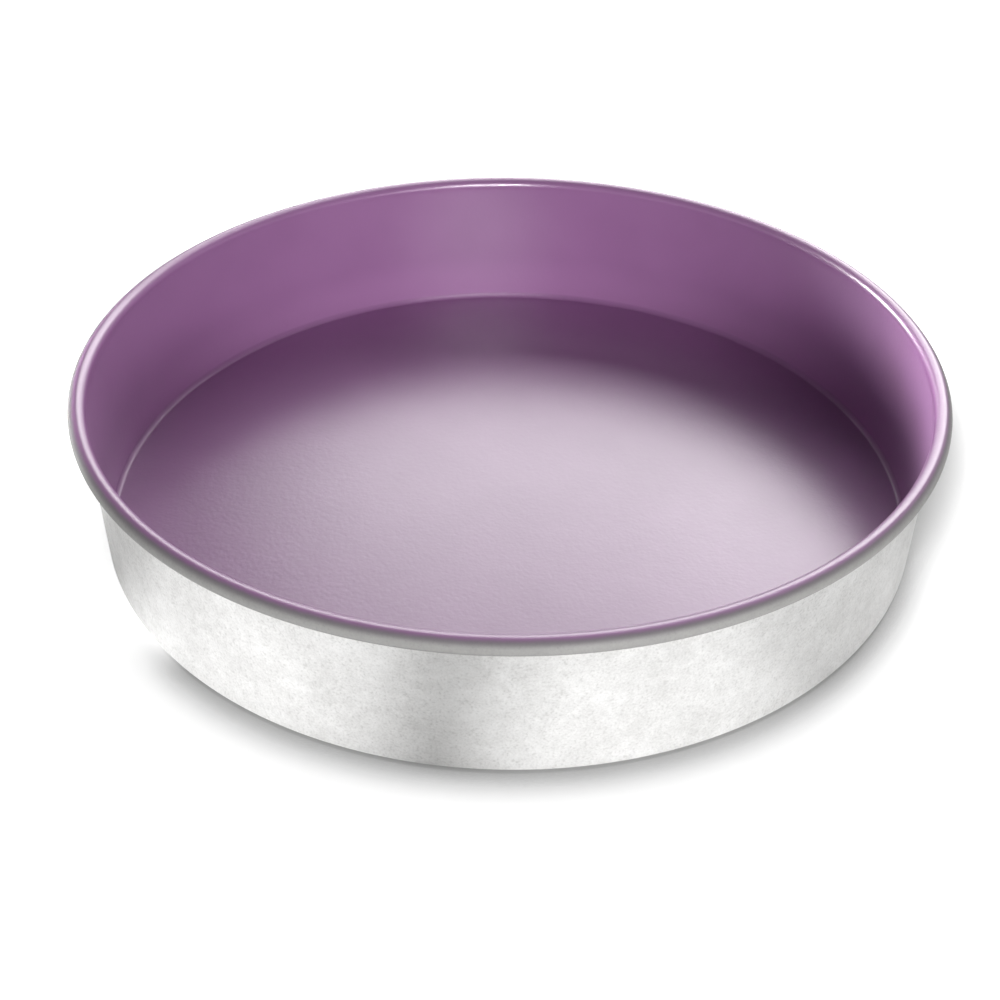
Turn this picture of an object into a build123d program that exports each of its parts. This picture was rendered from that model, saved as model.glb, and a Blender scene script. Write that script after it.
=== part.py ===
from build123d import *
import math
import os

# Round cake tin: a deep-drawn sheet-steel pan, a stiffening wire that its rim is rolled around, and
# a non-stick lining on the food side. Sizes are in millimetres. The origin is the middle of the
# underside, on the surface that the tin stands on, and +Z points up out of the mouth.

# Sheet-steel pan
# Width of the mouth between the bare inner faces, where the wall turns into the rolled rim
mouth_diameter = 260.0
# From the underside to the top of the bare rim
height = 50.0
# Thickness of the drawn sheet
sheet = 0.8
# Lean of the wall away from upright in degrees, so that a cake drops out and tins nest
wall_draft = 1.2
# Inside radius of the bend where the floor turns up into the wall
bend_radius = 2.0

# Wire hoop inside the rim
wire_diameter = 3.4
# Space left between the wire and the sheet that is rolled round it
wire_clearance = 0.05
# Space between the two cut ends of the hoop, which lie at this angle in degrees from +X
wire_end_gap = 1.0
wire_end_place = 90.0
# Space between the rolled sheet's cut edge and the wall that it tucks against
tuck_clearance = 0.1

# Non-stick lining, thicker here than the sprayed film of a real tin
film = 0.2

# Each round of the section is a run of short flats that touch its true line, so that the tin stays
# light to draw. These are the corners in the bend, in the curl and in the wire's own section.
bend_corners = 3
curl_corners = 9
wire_corners = 10
# Corners of the curl under the full film, which thins out to bare steel by the next one
film_corners = 3

# Centres of the rounds, in one section through the tin: distance from the axis, then height
lean = math.radians(wall_draft)
outwards = Vector(math.cos(lean), -math.sin(lean))
wire_radius = wire_diameter / 2
curl_radius = wire_radius + wire_clearance + sheet
wire_centre = Vector(mouth_diameter / 2 + curl_radius * outwards.X, height - curl_radius)
wall_top = wire_centre - outwards * curl_radius
bend_height = sheet + bend_radius
wall_rise = wall_top.Y - bend_height
bend_inset = (bend_radius + wall_rise * math.sin(lean)) / math.cos(lean)
bend_centre = Vector(wall_top.X - bend_inset, bend_height)

# The curl leaves the wall, runs over the top of the wire and down its outside, and comes up under
# it until the cut edge is the tuck clearance short of the wall
curl_start = math.pi - lean
cut_edge_reach = wire_radius + wire_clearance - tuck_clearance
curl_stop = math.acos(cut_edge_reach / curl_radius) - math.pi


def round_point(centre, radius, angle):
    """The point of a circle at an angle, counted up from the outward direction."""
    return centre + Vector(math.cos(angle), math.sin(angle)) * radius


def round_corners(centre, radius, start, stop, count):
    """Corners of the flats that touch a round, one corner in the middle of each equal step."""
    step = (stop - start) / count
    reach = radius / math.cos(step / 2)
    return [round_point(centre, reach, start + step * (number + 1 / 2)) for number in range(count)]


def sheet_line(depth, corners):
    """The line at one depth below the bare food side, from the axis to a corner of the curl."""
    on_axis = Vector(0, sheet - depth)
    bend = round_corners(bend_centre, bend_radius + depth, -math.pi / 2, -lean, bend_corners)
    curl = round_corners(wire_centre, curl_radius - depth, curl_start, curl_stop, curl_corners)
    return [on_axis, *bend, *curl[:corners]]


def rolled_line(depth):
    """The same line carried on round the whole curl to the sheet's cut edge."""
    cut_edge = round_point(wire_centre, curl_radius - depth, curl_stop)
    return [*sheet_line(depth, curl_corners), cut_edge]


def turned_layer(near_line, far_line):
    """The solid between two such lines, turned once round the upright axis."""
    outline = Polyline(*near_line, *reversed(far_line), close=True)
    return revolve(Plane.XZ * make_face(outline), Axis.Z)


def make_pan_shell():
    """Floor, bend, leaning wall and rolled rim, all one sheet."""
    food_side = rolled_line(0)
    bare_side = rolled_line(sheet)
    return turned_layer(food_side, bare_side)


def make_rim_wire():
    """A round wire bent to a hoop, with its two cut ends almost meeting."""
    section = Pos(wire_centre.X, wire_centre.Y) * RegularPolygon(wire_radius, wire_corners)
    gap_angle = math.degrees(wire_end_gap / wire_centre.X)
    hoop = revolve(Plane.XZ * section, Axis.Z, 360 - gap_angle)
    return Rot(Z=wire_end_place + gap_angle / 2) * hoop


def make_nonstick_lining():
    """The film over the floor, the wall and the top of the rim, with an edge that thins out."""
    film_surface = sheet_line(-film, film_corners)
    steel_surface = sheet_line(0, film_corners + 1)
    return turned_layer(film_surface, steel_surface)


pieces = {
    "pan_shell": make_pan_shell(),
    "rim_wire": make_rim_wire(),
    "nonstick_lining": make_nonstick_lining(),
}

os.makedirs("parts", exist_ok=True)
for name, solid in pieces.items():
    export_step(solid, f"parts/{name}.step")
    size = solid.bounding_box().size
    print(f"{name}: {solid.volume:.0f} mm3, {size.X:.2f} x {size.Y:.2f} x {size.Z:.2f} mm")
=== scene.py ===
# %% [markdown]
# # A round cake tin
#
# A straight-sided round tin, drawn from one sheet of aluminised steel. Its rim is rolled over a
# wire hoop, and a purple non-stick lining covers the inside and the top of the rim.
#
# The CAD model of the tin is loaded first. It fixes every size and place: all lengths here are in
# metres, the origin is the middle of the underside, and +Z points up out of the mouth. The CAD
# draws each round of the section as a few flats, which is light, but shows as rings of facets in a
# glossy finish. So each of the three pieces is turned again here along its true rounds.

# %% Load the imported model
import math

import bmesh
import bpy
import numpy as np
from mathutils import Matrix, Vector


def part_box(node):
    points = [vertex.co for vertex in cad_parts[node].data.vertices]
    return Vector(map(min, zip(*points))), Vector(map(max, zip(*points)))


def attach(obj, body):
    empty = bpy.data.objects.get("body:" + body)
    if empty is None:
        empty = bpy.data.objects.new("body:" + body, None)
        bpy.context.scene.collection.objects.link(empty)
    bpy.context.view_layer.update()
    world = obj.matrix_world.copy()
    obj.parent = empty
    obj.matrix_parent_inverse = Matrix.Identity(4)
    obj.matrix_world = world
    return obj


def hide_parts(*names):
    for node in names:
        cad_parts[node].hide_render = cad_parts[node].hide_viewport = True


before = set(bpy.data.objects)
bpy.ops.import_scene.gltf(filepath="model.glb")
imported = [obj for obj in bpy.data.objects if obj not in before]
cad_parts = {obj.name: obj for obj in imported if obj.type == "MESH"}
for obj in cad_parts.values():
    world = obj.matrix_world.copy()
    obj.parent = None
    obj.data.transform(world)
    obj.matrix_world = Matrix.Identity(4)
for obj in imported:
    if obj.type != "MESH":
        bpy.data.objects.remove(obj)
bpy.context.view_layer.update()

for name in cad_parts:
    low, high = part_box(name)
    print(name, "from", [round(value, 5) for value in low], "to", [round(value, 5) for value in high])

# %% [markdown]
# ## The section through the tin
#
# A tin like this is pressed and rolled on round tools, so one section through it, turned about the
# upright axis, is the whole shape. Blender could turn a drawn profile with its Screw modifier, or
# the profile could be a curve with a bevel. Writing the section as numbers is shorter here and ties
# it to the real sizes: a point is one complex number, the distance from the axis plus the height
# times j. Then an arc is a centre plus a radius times a turning direction, and a line that runs
# deeper inside the sheet is the same line with other radii.

# %% The tin's sizes
# Between the bare inner faces, and from the underside to the top of the bare rim
mouth_radius = 0.130
height = 0.050
# Thickness of the steel and of the lining
sheet = 0.0008
film = 0.0002
# The wall's lean away from upright, and the inside radius of the bend at its foot
lean = math.radians(1.2)
bend_radius = 0.002
# The wire, its space in the curl, the space between its ends, and the cut edge's space to the wall
wire_radius = 0.0017
wire_clearance = 0.00005
wire_end_gap = 0.001
tuck_clearance = 0.0001

# The middles of the rounds follow from these
outwards = complex(math.cos(lean), -math.sin(lean))
curl_radius = wire_radius + wire_clearance + sheet
wire_centre = complex(mouth_radius + curl_radius * outwards.real, height - curl_radius)
wall_top = wire_centre - outwards * curl_radius
bend_height = sheet + bend_radius
bend_inset = (bend_radius + (wall_top.imag - bend_height) * math.sin(lean)) / math.cos(lean)
bend_centre = complex(wall_top.real - bend_inset, bend_height)
print("middle of the wire", wire_centre, "and of the bend", bend_centre)

# %% [markdown]
# ## Lines of the section
#
# The sheet keeps its thickness all the way, so its two faces are lines a fixed depth apart. Smooth
# shading spreads the turn of a round over the whole flat beside it, and then a flat floor reflects
# like a shallow dome. A narrow strip at each end of a straight run stops that: the turn is held in
# the strip and the rest stays flat.

# %% Straight runs, rounds, and a line along the sheet
strip = 0.0004
floor_rings = 8
bend_steps = 12
wall_bands = 6


def straight(start, stop, bands):
    """Points of a straight run between its two ends, with a narrow strip at each end."""
    along = (stop - start) / abs(stop - start)
    return np.linspace(start + along * strip, stop - along * strip, bands + 1)


def turned_round(centre, radius, angles):
    """Points of a round at angles counted up from the outward direction."""
    return centre + radius * np.exp(1j * angles)


def sheet_line(depth, curl_angles, curl_depth):
    """A line along the sheet at one depth below its food side, from the axis into the curl."""
    bend_angles = np.linspace(-math.pi / 2, -lean, bend_steps + 1)
    bend = turned_round(bend_centre, bend_radius + depth, bend_angles)
    curl = turned_round(wire_centre, curl_radius - curl_depth, curl_angles)
    floor = np.linspace(0, bend[0].real - strip, floor_rings) + 1j * bend[0].imag
    return np.concatenate([floor, bend, straight(bend[-1], curl[0], wall_bands), curl])


print("one line along the wall has", wall_bands, "bands and its bend", bend_steps)


# %% [markdown]
# ## Turning a section
#
# Turning is what a potter's or tinsmith's wheel does. Each point of the section becomes a ring of
# corners, and neighbouring rings are joined by a band of faces. A point on the axis stays one
# corner, so the middle of the floor is a clean fan without doubled corners. The hoop of wire is cut
# once, so its section is carried round a little less than a full turn and closed by two caps.
# Faces are shaded smooth, and edges that turn by more than 50 degrees stay sharp.

# %% Turn a closed section into a piece
steps_round = 288
on_the_axis = 1e-9
sharp_edge = math.radians(50)


def turn(name, section, start=0.0, sweep=2 * math.pi):
    """A piece made by turning a closed section about the upright axis, fully or over one sweep."""
    full = sweep >= 2 * math.pi
    around = start + sweep * np.arange(steps_round + (0 if full else 1)) / steps_round
    corners, rings = [], []
    for point in section:
        on_axis = abs(point.real) < on_the_axis
        places = around[:1] if on_axis else around
        rings.append([len(corners) + (0 if on_axis else number) for number in range(len(around))])
        corners += [(point.real * math.cos(a), point.real * math.sin(a), point.imag) for a in places]
    faces = []
    for ring, following in zip(rings, rings[1:] + rings[:1]):
        for number in range(steps_round):
            after = (number + 1) % len(around)
            band = [ring[number], ring[after], following[after], following[number]]
            face = list(dict.fromkeys(band))
            if len(face) > 2:
                faces.append(face)
    if not full:
        faces += [[ring[0] for ring in rings], [ring[-1] for ring in reversed(rings)]]
    mesh = bpy.data.meshes.new(name)
    mesh.from_pydata(corners, [], faces)
    mesh.validate()
    for face in mesh.polygons:
        face.use_smooth = True
    mesh.set_sharp_from_angle(angle=sharp_edge)
    piece = bpy.data.objects.new(name, mesh)
    bpy.context.scene.collection.objects.link(piece)
    print(name, len(mesh.vertices), "corners", len(mesh.polygons), "faces")
    return piece


# %% [markdown]
# ## The pan shell
#
# The shell is one sheet of 0.8 mm steel: floor, a small bend, a wall that leans out a little, and
# the rim rolled over the wire until its cut edge tucks against the wall. A flat disc with a
# Solidify modifier could be bent to this, but both faces are known here, so the section is simply
# the food side on the way out and the bare side on the way back.

# %% Turn the pan shell
curl_steps = 56
curl_start = math.pi - lean
cut_edge_reach = wire_radius + wire_clearance - tuck_clearance
curl_stop = math.acos(cut_edge_reach / curl_radius) - math.pi
curl_angles = np.linspace(curl_start, curl_stop, curl_steps + 1)
food_side = sheet_line(0, curl_angles, 0)
bare_side = sheet_line(sheet, curl_angles, sheet)
pan_shell = turn("drawn_pan_shell", np.concatenate([food_side, bare_side[::-1]]))

# %% [markdown]
# ## The rim wire
#
# A hoop of round wire lies inside the rolled rim and keeps the mouth round. It can't be seen, but
# it is there on the real tin, so it is made as carefully: a round section, and two cut ends that
# almost meet at the back.

# %% Turn the rim wire
wire_steps = 24
wire_angles = np.linspace(0, 2 * math.pi, wire_steps, endpoint=False)
wire_section = turned_round(wire_centre, wire_radius, wire_angles)
gap_angle = wire_end_gap / wire_centre.real
wire_start = math.pi / 2 + gap_angle / 2
rim_wire = turn("drawn_rim_wire", wire_section, wire_start, 2 * math.pi - gap_angle)

# %% [markdown]
# ## The non-stick lining
#
# The lining is sprayed into the pan after the rim is rolled, so it covers the floor, the wall and
# the top of the rim, and thins out to nothing on the rim's outer side where the spray gun's cone
# ends. It could be painted on the shell, but it is a piece of its own with a real thickness. Its
# lower face lies on the steel, and its upper face stands one film thickness above it.

# %% Turn the lining
film_steps = 36
film_full = math.radians(84)
film_gone = math.radians(50)
film_angles = np.linspace(curl_start, film_gone, film_steps)
film_share = np.clip((film_angles - film_gone) / (film_full - film_gone), 0, 1)
film_surface = sheet_line(-film, film_angles, -film * film_share)
steel_surface = sheet_line(0, film_angles, 0)
lining = turn("sprayed_lining", np.concatenate([film_surface, steel_surface[-2::-1]]))

# %% [markdown]
# ## Faces that point outwards
#
# A section can be drawn clockwise or the other way, and Blender needs every face of a closed piece
# to look outwards. bmesh can find that out by itself, which is safer than keeping count by hand.

# %% Point every face outwards
for piece in (pan_shell, rim_wire, lining):
    work = bmesh.new()
    work.from_mesh(piece.data)
    bmesh.ops.recalc_face_normals(work, faces=work.faces)
    print(piece.name, "volume", round(work.calc_volume() * 1e9), "mm3")
    work.to_mesh(piece.data)
    work.free()

# %% [markdown]
# ## Writing materials as sums
#
# A material is a tree of nodes. Mixed by hand it soon becomes long, so one small class stands for
# one value in the tree. Adding or multiplying two of them adds a Math node, so a mask can be
# written as ordinary arithmetic. A plain number may stand on either side, so 1 - mask works too.

# %% A class for values in a material


class Shade:
    """One value in a node tree. Sums of it add Math nodes, and node() adds any other node."""

    def __init__(self, tree, socket=None):
        self.tree = tree
        self.socket = socket

    def node(self, kind, settings=None, inputs=None, output=0):
        """Adds a node: its settings first, then a number, colour or Shade for each named socket."""
        made = self.tree.nodes.new(kind)
        for name, setting in (settings or {}).items():
            setattr(made, name, setting)
        for key, value in (inputs or {}).items():
            free = [s for s in made.inputs if s.enabled]
            socket = free[key] if isinstance(key, int) else next(s for s in free if s.name == key)
            if isinstance(value, Shade):
                self.tree.links.new(value.socket, socket)
            else:
                socket.default_value = value
        enabled = [s for s in made.outputs if s.enabled]
        found = enabled[output] if isinstance(output, int) else made.outputs[output]
        return Shade(self.tree, found)

    def maths(self, operation, *values):
        """Adds a Math node for some values, in the order of its sockets."""
        return self.node("ShaderNodeMath", {"operation": operation}, dict(enumerate(values)))

    def __add__(self, other):
        return self.maths("ADD", self, other)

    def __sub__(self, other):
        return self.maths("SUBTRACT", self, other)

    def __rsub__(self, other):
        return self.maths("SUBTRACT", other, self)

    def __mul__(self, other):
        return self.maths("MULTIPLY", self, other)

    def __pow__(self, other):
        return self.maths("POWER", self, other)

    __radd__ = __add__
    __rmul__ = __mul__

    def eased(self, low, high, start=0.0, stop=1.0):
        """Turns the range low..high into start..stop, held level outside it and eased at both ends."""
        sockets = {"Value": self, "From Min": low, "From Max": high, "To Min": start, "To Max": stop}
        return self.node("ShaderNodeMapRange", {"interpolation_type": "SMOOTHSTEP"}, sockets)

    def blend(self, first, second):
        """A colour between two colours, where this value is the share of the second."""
        sockets = {"Factor": self, "A": first, "B": second}
        return self.node("ShaderNodeMix", {"data_type": "RGBA"}, sockets)


# %% [markdown]
# ## Making a material
#
# Each finish here needs the same few things: an empty material, the place on the piece to work
# from, one Principled shader, and often noise and a relief. A helper for each keeps the finishes
# short. The place comes from Texture Coordinate's Object output, which is in metres and needs no
# unwrapped surface, so a speck has its real size everywhere.

# %% Helpers that make a material


def new_material(name):
    """An empty material, its output node and the place on the piece, in metres, as three values."""
    material = bpy.data.materials.new(name)
    material.use_nodes = True
    tree = material.node_tree
    tree.nodes.clear()
    output = tree.nodes.new("ShaderNodeOutputMaterial")
    place = Shade(tree).node("ShaderNodeTexCoord", output="Object")
    return material, output, place


def painted(output, **inputs):
    """One Principled shader, whose sockets are named here with _ for a space."""
    named = {name.replace("_", " "): value for name, value in inputs.items()}
    return Shade(output.id_data).node("ShaderNodeBsdfPrincipled", None, named)


def finish_material(output, surface):
    """Feeds a finished shader to the material's output."""
    output.id_data.links.new(surface.socket, output.inputs["Surface"])


def grain(place, size, detail=2.0, roughness=0.5):
    """Even cloudy noise with lumps of about one size in metres, as values near one half."""
    sockets = {"Vector": place, "Scale": 1 / size, "Detail": detail, "Roughness": roughness}
    return place.node("ShaderNodeTexNoise", None, sockets, "Fac")


def bump(height_map, depth):
    """A bumped normal for a height map that runs over one, whose relief is that deep in metres."""
    sockets = {"Height": height_map, "Strength": 1.0, "Distance": depth}
    return height_map.node("ShaderNodeBump", None, sockets)


# %% [markdown]
# ## Reading the place
#
# A finish that follows the shape needs to know where on the tin it is. As the tin is round, three
# values say it: how far out from the axis, how high up, and, on the rim, the angle round the
# middle of the wire.

# %% Helpers that read the place


def part_of(place, axis):
    """One coordinate of the place."""
    return place.node("ShaderNodeSeparateXYZ", None, {"Vector": place}, axis)


def distance_out(place):
    """The distance from the upright axis."""
    east, north = part_of(place, 0), part_of(place, 1)
    return (east * east + north * north) ** 0.5


def round_the_rim(place):
    """The angle round the rim's own centre, counted up from the outward direction."""
    from_axis, up = distance_out(place), part_of(place, 2)
    return place.maths("ARCTAN2", up - wire_centre.imag, from_axis - wire_centre.real)


# %% [markdown]
# ## Bare aluminised steel
#
# The outside is bare steel with a thin hot-dipped aluminium coat. The coat freezes in fine grains,
# so the metal is pale and satin, with specks under a millimetre, patches of a few and clouds of
# two centimetres. Each is one noise, and their sum is how dull the metal is at a place. A real
# metal's grain changes its roughness as well as its colour, so the sum drives both.
#
# Rolling the edge over the wire rubs the coat, so the rim's outside is rougher and less metallic.
# Its colour there is painted much darker: a painted dark reflection of the room in front, darker
# and faintly purple towards the top, and painted shade where the edge tucks under. The wall was
# drawn upwards through a ring, which spreads its highlights upright; the flat base wasn't, so a
# Mix Shader takes it out there.

# %% Where the steel is dull
speck_size, patch_size, cloud_size = 0.0007, 0.0035, 0.022
patch_strength, cloud_strength, pit_strength = 0.5, 0.6, 0.15
usual_dullness = 0.47
# Noise swings evenly about this value, and a pit is where it rises above these two
middle = 0.5
pit_start, pit_full = 0.68, 0.76


def steel_dullness(place):
    """How dull the steel is, from nothing to one, and the specks alone."""
    specks = grain(place, speck_size, detail=3.0, roughness=0.7)
    pits = grain(place, speck_size, detail=0.0).eased(pit_start, pit_full)
    uneven = specks - middle
    uneven = uneven + (grain(place, patch_size) - middle) * patch_strength
    uneven = uneven + (grain(place, cloud_size) - middle) * cloud_strength
    return (uneven + pits * pit_strength + usual_dullness).eased(0.0, 1.0), specks


# %% Where the steel is rolled over the wire
# Angles round the rim where the painted dark reflection and the painted tuck shade start and are full
dark_reflection_start, dark_reflection_full = math.radians(15), math.radians(62)
tuck_shade_start, tuck_shade_full = math.radians(-10), math.radians(-55)
dark_reflection_depth, tuck_shade_depth = 0.9, 0.8
# The rim's outside starts between these heights, and between these distances from the axis
rim_foot = 0.044, 0.045
rim_out = mouth_radius + 0.0003, mouth_radius + 0.0009
# Painted on the rim's outside: a darker steel and a dark reflection of the room in front, and shade
# under the tuck
painted_dark_rim_pale = (0.40, 0.395, 0.385, 1)
painted_dark_rim_dull = (0.34, 0.335, 0.33, 1)
painted_dark_reflection = (0.20, 0.175, 0.20, 1)
painted_tuck_shade = (0.20, 0.198, 0.193, 1)


def rolled_rim(place, dull):
    """The share of one on the rim's outside, and its painted colour: a dark reflection, shade under
    the tuck.
    """
    rolled = distance_out(place).eased(*rim_out) * part_of(place, 2).eased(*rim_foot)
    around = round_the_rim(place)
    # Painted dark reflection towards the top of the rim, and painted shade where the edge tucks under
    dark_reflection_share = around.eased(dark_reflection_start, dark_reflection_full, 0.0, dark_reflection_depth)
    tuck_shade_share = around.eased(tuck_shade_start, tuck_shade_full, 0.0, tuck_shade_depth)
    colour = dark_reflection_share.blend(dull.blend(painted_dark_rim_pale, painted_dark_rim_dull), painted_dark_reflection)
    return rolled, tuck_shade_share.blend(colour, painted_tuck_shade)


# %% The whole steel finish
pale_steel = (0.905, 0.902, 0.896, 1)
dull_steel = (0.66, 0.655, 0.645, 1)
satin_roughness = 0.46
dull_rougher = 0.08
rolled_rougher = 0.15
rolled_less_metal = 0.65


def steel_finish(place):
    """Colour, roughness, metal and relief of aluminised steel; the rim's colour is painted darker."""
    dull, specks = steel_dullness(place)
    rolled, rim_painted_colour = rolled_rim(place, dull)
    # On the rim's outside the colour is the painted dark reflection and shade
    colour = rolled.blend(dull.blend(pale_steel, dull_steel), rim_painted_colour)
    roughness = dull * dull_rougher + satin_roughness + rolled * rolled_rougher
    metal = 1 - rolled * rolled_less_metal
    return colour, roughness, metal, specks


# %% Make the shell's material
speck_relief = 0.00001
# The drawn wall takes over from the flat base between these heights
base_top, wall_bottom = 0.0006, 0.0014
# How far drawing spreads a highlight, and the quarter turn that makes it upright
drawn = {"Anisotropic": 0.3, "Anisotropic_Rotation": 0.25}

shell_material, shell_output, place = new_material("bare_aluminised_steel")
colour, roughness, metal, specks = steel_finish(place)
steel = {"Base_Color": colour, "Metallic": metal, "Roughness": roughness}
steel["Normal"] = bump(specks, speck_relief)
drawn_wall = painted(shell_output, **steel, **drawn)
flat_base = painted(shell_output, **steel)
underneath = part_of(place, 2).eased(base_top, wall_bottom, 1.0, 0.0)
both = {0: underneath, 1: drawn_wall, 2: flat_base}
finish_material(shell_output, place.node("ShaderNodeMixShader", None, both))
print("steel finish has", len(shell_material.node_tree.nodes), "nodes")

# %% [markdown]
# ## Drawn wire
#
# Wire is pulled through a die, which leaves fine lines along it. Noise that doesn't change round the
# hoop and changes quickly across it gives such lines. A noise with one dimension does that by
# itself when it is fed with the distance from the middle of the tin.

# %% Make the wire finish
line_dark = (0.50, 0.50, 0.50, 1)
line_pale = (0.66, 0.66, 0.65, 1)
lines_per_metre = 9000.0
line_relief = 0.000006
smooth_lines, rough_lines = 0.28, 0.42

wire_material, wire_output, place = new_material("drawn_wire_steel")
across = place.node("ShaderNodeVectorMath", {"operation": "LENGTH"}, {0: place}, "Value")
along_it = {"W": across, "Scale": lines_per_metre, "Detail": 2.0}
lines = place.node("ShaderNodeTexNoise", {"noise_dimensions": "1D"}, along_it, "Fac")
surface = painted(
    wire_output,
    Base_Color=lines.blend(line_dark, line_pale),
    Metallic=1.0,
    Roughness=lines.eased(0.2, 0.8, smooth_lines, rough_lines),
    Normal=bump(lines, line_relief),
)
finish_material(wire_output, surface)
print("wire finish has", len(wire_material.node_tree.nodes), "nodes")

# %% [markdown]
# ## Purple non-stick lining
#
# The lining is a sprayed ceramic-type paint, baked hard: purple and satin, with the fine orange
# peel of sprayed paint. Two sizes of noise make the peel, and a slow cloud varies the sheen.
#
# The spray comes from above, so it lies evenly on the floor and is a little rough on the wall, and
# over the rim it is smooth. Low on the wall the purple is painted paler, a painted band of light
# along the foot. On the rim's outer side it thins out, and there the purple gives way to the steel
# under it. That edge is found from the angle round the rim, with some noise so that it isn't a
# clean line.

# %% Where the paint has thinned out
edge_grain, edge_unevenness = 0.003, 0.2
paint_whole = math.radians(88)
# Inside the first of these distances from the axis the paint is always whole
mouth_edge = mouth_radius, mouth_radius + 0.0005

lining_material, lining_output, place = new_material("purple_nonstick_lining")
from_axis, up = distance_out(place), part_of(place, 2)
ragged = (grain(place, edge_grain) - middle) * edge_unevenness
bare = (round_the_rim(place) + ragged).eased(paint_whole, film_gone, 0.0, 1.0)
bare = bare * from_axis.eased(*mouth_edge)
thin_places = [round(math.degrees(angle)) for angle in (paint_whole, film_gone)]
print("the paint thins out between the angles", thin_places, "round the rim")

# %% The paint's colour
cloud_width = 0.03
cloud_edges = 0.3, 0.7
# Heights on the wall where the painted band of light starts, is full, begins to fade and has ended
lit_foot_low, lit_foot_from, lit_foot_to, lit_foot_high = 0.0020, 0.0032, 0.004, 0.020
purple = (0.315, 0.150, 0.318, 1)
deep_purple = (0.297, 0.139, 0.300, 1)
# A paler purple painted low on the wall, a painted band of light along its foot
lit_foot_purple = (0.385, 0.188, 0.386, 1)

cloud = grain(place, cloud_width)
# Painted light: the share of the paler purple low on the wall
lit_foot = up.eased(lit_foot_low, lit_foot_from) * up.eased(lit_foot_high, lit_foot_to)
paint_colour = cloud.eased(*cloud_edges).blend(purple, deep_purple)
paint_colour = lit_foot.blend(paint_colour, lit_foot_purple)
print("purple", purple[:3], "and, low on the wall,", lit_foot_purple[:3])

# %% The paint's roughness
floor_roughness = 0.31
bend_roughness = 0.63
wall_smoother = 0.12
rim_smoother = 0.18
uneven_sheen = 0.02
# Between each pair of heights, one part of the lining turns into the next one up
floor_level = sheet + film
floor_to_bend = floor_level + 0.00001, floor_level + 0.0004
bend_to_wall = 0.0022, 0.0034
wall_to_rim = 0.0455, 0.0475

paint_roughness = up.eased(*floor_to_bend, floor_roughness, bend_roughness)
paint_roughness = paint_roughness - up.eased(*bend_to_wall, 0.0, wall_smoother)
paint_roughness = paint_roughness - up.eased(*wall_to_rim, 0.0, rim_smoother)
paint_roughness = paint_roughness + (cloud - middle) * uneven_sheen
print("rim roughness", round(bend_roughness - wall_smoother - rim_smoother, 3))

# %% Make the lining's material
fine_peel, broad_peel, broad_strength = 0.0013, 0.0034, 0.9
peel_relief = 0.000033
paint_ior = 1.55

peel = grain(place, fine_peel, detail=1.0) + grain(place, broad_peel) * broad_strength
# Where the paint has thinned out, the steel under it carries the rim's painted dark reflection and
# shade
steel_colour, steel_roughness, metal, _ = steel_finish(place)
surface = painted(
    lining_output,
    Base_Color=bare.blend(paint_colour, steel_colour),
    Metallic=bare * metal,
    Roughness=paint_roughness * (1 - bare) + steel_roughness * bare,
    Normal=bump(peel, peel_relief),
    IOR=paint_ior,
)
finish_material(lining_output, surface)
print("lining finish has", len(lining_material.node_tree.nodes), "nodes")

# %% [markdown]
# ## Put the pieces on the tin
#
# Each turned piece takes the place of its CAD node. It also rides on the body that the node is on,
# so it would move along if the tin had moving parts; it has none, so that is the one body, root.

# %% Dress, ride and replace
for piece, material, node, slot in (
    (pan_shell, shell_material, "pan_shell", "shell_steel"),
    (rim_wire, wire_material, "rim_wire", "wire_steel"),
    (lining, lining_material, "nonstick_lining", "lining"),
):
    piece.data.materials.append(material)
    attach(piece, "root")
    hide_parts(node)
    print(piece.name, "stands for", node)

# %% [markdown]
# ## The table top
#
# The tin stands on a plain pale surface that carries on out of the picture. One large square is
# enough for it. It lies a hair above the tin's underside, because two faces in one plane show as
# wedges from below.

# %% Make the table top
table_half = 3.0
table_level = 0.00002

table_sides = ((-1, -1), (1, -1), (1, 1), (-1, 1))
table_corners = [(x * table_half, y * table_half, table_level) for x, y in table_sides]
table_mesh = bpy.data.meshes.new("table_top")
table_mesh.from_pydata(table_corners, [], [(0, 1, 2, 3)])
table = bpy.data.objects.new("table_top", table_mesh)
bpy.context.scene.collection.objects.link(table)
print("table top is", 2 * table_half, "metres wide")

# %% [markdown]
# ## Light that depends on the ray
#
# Blender follows each ray of light and knows its kind: seen by the camera, mirrored, or seen
# through glass. Light Path tells a material, so a table can look white to the camera and be darker
# in a mirror. A second helper picks out one side of the tin by the direction from its axis.

# %% Helpers for the kind of ray and for a direction


def ray_share(shade, kind):
    """One for one kind of ray, such as Camera or Glossy, and nothing for the others."""
    return shade.node("ShaderNodeLightPath", output=f"Is {kind} Ray")


def towards(place, azimuth, half_width, full_width=0.0):
    """One in a level direction from the tin's axis and up to full_width degrees to both sides of it.

    Past half_width degrees it is nothing, and between the two it fades.
    """
    along = place.node("ShaderNodeVectorMath", {"operation": "NORMALIZE"}, {0: place})
    aim = (math.cos(math.radians(azimuth)), math.sin(math.radians(azimuth)), 0)
    turned = {0: along, 1: aim}
    share = along.node("ShaderNodeVectorMath", {"operation": "DOT_PRODUCT"}, turned, "Value")
    return share.eased(math.cos(math.radians(half_width)), math.cos(math.radians(full_width)))


# %% [markdown]
# ## The table's shadow
#
# The table has to look white and still keep the tin's shadow, so it is an ordinary pale surface
# with a little light of its own. Under soft light a tin has one narrow shadow along its foot, on
# the side that the light leaves. An Ambient Occlusion node finds the places that the wall
# overhangs, and there the own light is turned down: for what is seen, and less for what is
# mirrored. At the right the shadow leaves the wall and gets wider; there it is the edge of a large
# disc whose middle lies further back.

# %% Find the shadow round the foot
contact_reach = 0.018
contact_depth = 0.93
occlusion_samples = 8
# The occlusion that gives the full shadow, and the one that gives none
overhung_full, overhung_none = 0.35, 0.95
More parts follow.
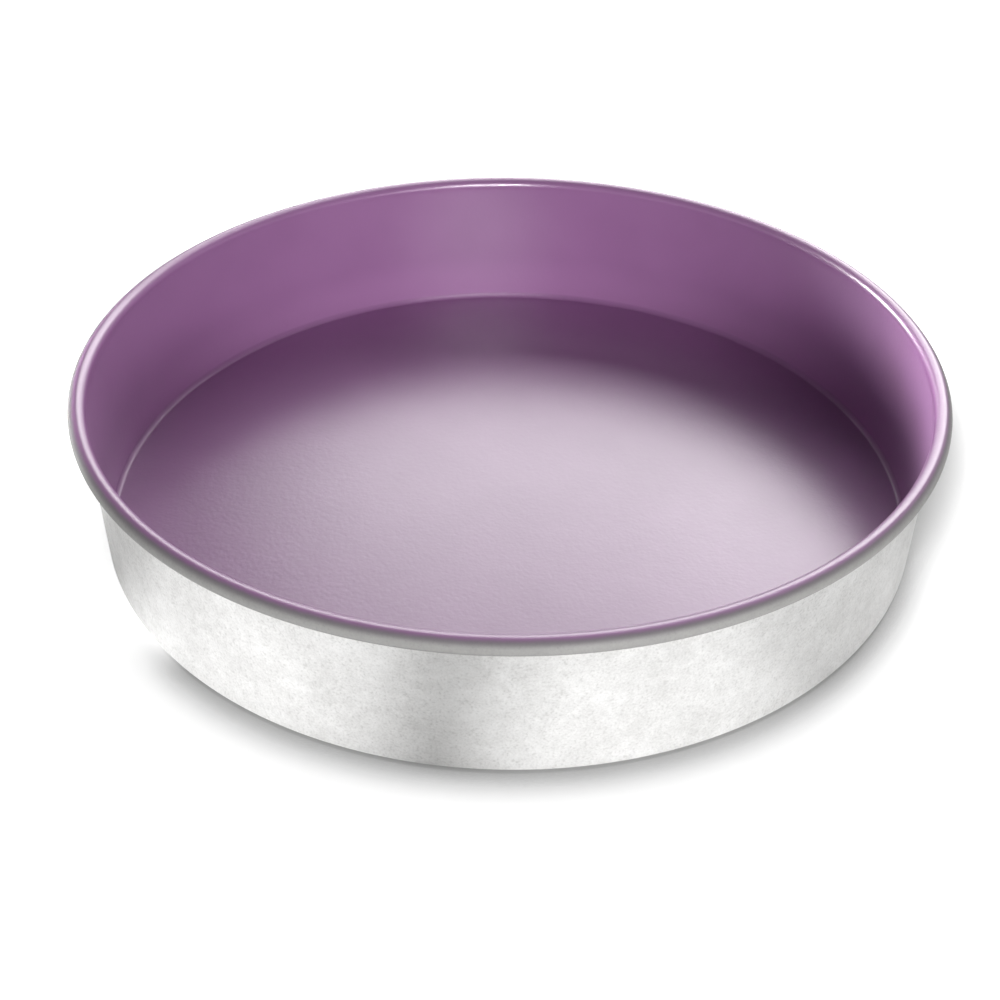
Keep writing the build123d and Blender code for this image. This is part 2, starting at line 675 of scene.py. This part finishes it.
# The wide shadow's disc, with the distances from its middle where it ends and where it is full
wide_middle = (0, 0.055, 0)
wide_end = 0.173
wide_full = 0.147
wide_depth = 0.86
mirrored_depth = 0.38

table_material, table_output, place = new_material("pale_table")
seen = ray_share(place, "Camera") + ray_share(place, "Transmission")
mirrored = ray_share(place, "Glossy")
out = distance_out(place)
reach = {"Distance": contact_reach}
samples = {"samples": occlusion_samples}
overhung = place.node("ShaderNodeAmbientOcclusion", samples, reach, "AO")
lee_side = towards(place, azimuth=300, half_width=86, full_width=74)
contact = overhung.eased(overhung_full, overhung_none, contact_depth, 0.0) * lee_side

spread = {0: place, 1: wide_middle}
spread = place.node("ShaderNodeVectorMath", {"operation": "DISTANCE"}, spread, "Value")
right_side = towards(place, azimuth=0, half_width=38, full_width=12)
right_shadow = spread.eased(wide_end, wide_full, 0.0, wide_depth) * right_side
shadow = contact.maths("MAXIMUM", contact, right_shadow)
open_table = 1 - shadow * (ray_share(place, "Camera") + mirrored * mirrored_depth)
print("the shadow reaches", contact_reach, "metres from the wall")

# %% [markdown]
# ## What the metal mirrors in the table
#
# Bare metal shows mostly what stands round it. A photographer lays white cards beside the tin for
# the bright bands on its wall, and keeps black cloth further out for the dark line on the rim.
# Both are done here in the table's own light, for mirrored rays only: cards in three directions,
# and a table that gets dim further away and behind the tin on the right.

# %% Lay the white cards and the dark cloth
# Light between the cards, then each card's direction, half its width and its brightness
between_cards = 0.05
cards = ((230, 33, 1.0), (287, 28, 0.9), (330, 34, 0.3))
# The far cloth's distances, and how dark each cloth makes the table
cloth_start, cloth_full = 0.19, 0.30
far_darker, right_darker = 0.6, 0.3

card_light = between_cards
for azimuth, half_width, brightness in cards:
    card_light = towards(place, azimuth, half_width) * brightness + card_light
    print("card towards", azimuth, "degrees")

far_cloth = out.eased(cloth_start, cloth_full) * mirrored
right_cloth = towards(place, azimuth=32, half_width=62, full_width=34) * mirrored
dark_cloth = 1 - (1 - far_cloth * far_darker) * (1 - right_cloth * right_darker)

# %% Make the table's material
table_grey = (0.80, 0.80, 0.80, 1)
shadow_grey = (0.3, 0.3, 0.3, 1)
far_grey = (0.1, 0.1, 0.1, 1)
white = (1, 1, 1, 1)
own_light = 0.655
right_dimmer = 0.5
# Past the picture the table turns quite white, so that it meets the room without an edge
near_end, far_start = 0.3, 0.9

table_colour = dark_cloth.blend(open_table.blend(shadow_grey, table_grey), far_grey)
surface = place.node("ShaderNodeBsdfDiffuse", None, {"Color": table_colour})
light_seen = seen * out.eased(near_end, far_start, own_light, 1.0)
light_mirrored = mirrored * card_light * (1 - far_cloth) * (1 - right_cloth * right_dimmer)
strength = (light_seen + light_mirrored) * open_table
glow = place.node("ShaderNodeEmission", None, {"Color": white, "Strength": strength})
finish_material(table_output, place.node("ShaderNodeAddShader", None, {0: surface, 1: glow}))
table_mesh.materials.append(table_material)
print("table finish has", len(table_material.node_tree.nodes), "nodes")

# %% [markdown]
# ## Studio light
#
# Soft boxes do what they do in a product studio: large ones give soft light and broad reflections,
# and small ones draw lines. One helper makes a box from where it stands, how large it is and how
# strong; a few also have a narrow beam that is aimed at one spot. Angles are in degrees here.

# %% A soft box


def soft_box(name, azimuth, elevation, distance, width, tall, power, aim=(0, 0, 0), beam=180):
    """A rectangular lamp that looks at the tin, with its azimuth counted from +X towards +Y."""
    lamp = bpy.data.lights.new(name, "AREA")
    lamp.shape = "RECTANGLE"
    lamp.size = width
    lamp.size_y = tall
    lamp.energy = power
    lamp.spread = math.radians(beam)
    box = bpy.data.objects.new(name, lamp)
    level = math.cos(math.radians(elevation)) * distance
    spot = Vector((
        level * math.cos(math.radians(azimuth)),
        level * math.sin(math.radians(azimuth)),
        math.sin(math.radians(elevation)) * distance,
    ))
    box.location = spot
    box.rotation_euler = (Vector(aim) - spot).to_track_quat("-Z", "Y").to_euler()
    box.visible_camera = False
    bpy.context.scene.collection.objects.link(box)
    print(name, "at", [round(value, 2) for value in spot], "power", power)
    return box


# %% [markdown]
# ## Light from behind
#
# The key light stands behind the tin. Its blurred reflection fills the floor, and the back wall
# hides its lower part from the far end of the floor, which stays dark. A box beside it makes the
# reflection brighter on the right, one above it makes the highlight along the rim wider, and a low
# one lights the table behind. The one beside and the one above give no soft light, only their
# reflection.

# %% Place the lights behind the tin
soft_box("key_behind", azimuth=76, elevation=33, distance=1.5, width=1.28, tall=0.66, power=20.8)
soft_box("low_behind", azimuth=90, elevation=8, distance=1.5, width=1.6, tall=0.3, power=4.5)
key_right = soft_box(
    "key_right", azimuth=62, elevation=33, distance=1.49, width=0.7, tall=0.62, power=4.4
)
over_rim = soft_box(
    "over_rim", azimuth=74, elevation=62, distance=1.5, width=1.3, tall=0.5, power=9.5
)
for box in (key_right, over_rim):
    box.visible_diffuse = False

# %% [markdown]
# ## Light from the front and the left
#
# A broad fill in front lights the inside of the back wall. Mirrored in the rim it would be a hard
# streak, so it isn't mirrored, and a smaller box that is only mirrored makes a mild one. From the
# left a small lamp skims across the mouth on to the top of the right-hand wall, and a long thin
# one draws the white line along the rim there. A small one close in front makes the soft upright
# stripe on the back wall.

# %% Place the broad lights in front
front_fill = soft_box(
    "front_fill", azimuth=280, elevation=15, distance=1.5, width=1.0, tall=0.3, power=22
)
front_fill.visible_glossy = False
front_right = soft_box(
    "front_right", azimuth=295, elevation=12, distance=1.5, width=0.6, tall=0.3, power=4
)

# %% Place the small aimed lights
soft_box(
    "left_skim", azimuth=180, elevation=9.5, distance=0.45, width=0.08, tall=0.04, power=0.036,
    aim=(0.13, -0.01, 0.045), beam=14,
)
left_spark = soft_box(
    "left_spark", azimuth=133, elevation=23, distance=0.458, width=0.34, tall=0.02, power=0.3,
    aim=(0.125, 0.04, 0.09), beam=18,
)
glint = soft_box(
    "glint", azimuth=270, elevation=50, distance=0.156, width=0.02, tall=0.03, power=0.019,
    aim=(-0.014, 0.129, 0.024), beam=18,
)
for box in (front_right, left_spark, glint):
    box.visible_diffuse = False

# %% [markdown]
# ## The room round the tin
#
# The white backdrop fills the lower part of the room, and above it the studio is dim. The metal
# mirrors both, a little darker on the right. The camera sees white everywhere, and so does what is
# seen through glass. What the room gives as soft light is kept low, so shadows stay.

# %% Make the room
room_low = 1.0
room_high = 0.15
room_soft = 0.09
darker_right = 0.25
# The backdrop ends between these heights in the direction looked at, where 1 is straight up
backdrop_end, studio_start = 0.15, 0.6

world = bpy.data.worlds.new("studio_room")
bpy.context.scene.world = world
world.use_nodes = True
world.node_tree.nodes.clear()
room_output = world.node_tree.nodes.new("ShaderNodeOutputWorld")
direction = Shade(world.node_tree).node("ShaderNodeTexCoord", output="Generated")
seen = ray_share(direction, "Camera") + ray_share(direction, "Transmission")
mirrored = ray_share(direction, "Glossy")
backdrop = part_of(direction, 2).eased(backdrop_end, studio_start, room_low, room_high)
right_side = towards(direction, azimuth=20, half_width=75, full_width=20)
backdrop = backdrop * (1 - right_side * darker_right)
strength = seen + mirrored * backdrop + (1 - seen - mirrored) * room_soft
room = direction.node("ShaderNodeBackground", None, {"Color": white, "Strength": strength})
world.node_tree.links.new(room.socket, room_output.inputs["Surface"])
print("room has", len(world.node_tree.nodes), "nodes")

# %% [markdown]
# ## The camera
#
# The camera stands about half a metre away and looks down at 36 degrees. Its place and lens were
# found by fitting the tin's rim, mouth and foot to their outlines in the photograph. It turns about
# the middle of the tin, and then slides a little sideways and down, so the tin sits in the frame as
# it does there.

# %% Set up the camera
camera_distance = 0.48150
camera_tilt = math.radians(36.3006)
camera_roll = math.radians(0.4149)
camera_slide = (-0.0029712, -0.0250357)
focal_length = 53.704
sensor_width = 36.0
nearest_seen = 0.01

lens = bpy.data.cameras.new("photo_camera")
lens.lens = focal_length
lens.sensor_width = sensor_width
lens.clip_start = nearest_seen
camera = bpy.data.objects.new("photo_camera", lens)
bpy.context.scene.collection.objects.link(camera)
camera.matrix_world = (
    Matrix.Translation((0, 0, height / 2))
    @ Matrix.Rotation(math.pi / 2 - camera_tilt, 4, "X")
    @ Matrix.Rotation(camera_roll, 4, "Z")
    @ Matrix.Translation((*camera_slide, camera_distance))
)
bpy.context.scene.camera = camera
bpy.context.scene.view_settings.view_transform = "Standard"
print("camera at", [round(value, 4) for value in camera.location])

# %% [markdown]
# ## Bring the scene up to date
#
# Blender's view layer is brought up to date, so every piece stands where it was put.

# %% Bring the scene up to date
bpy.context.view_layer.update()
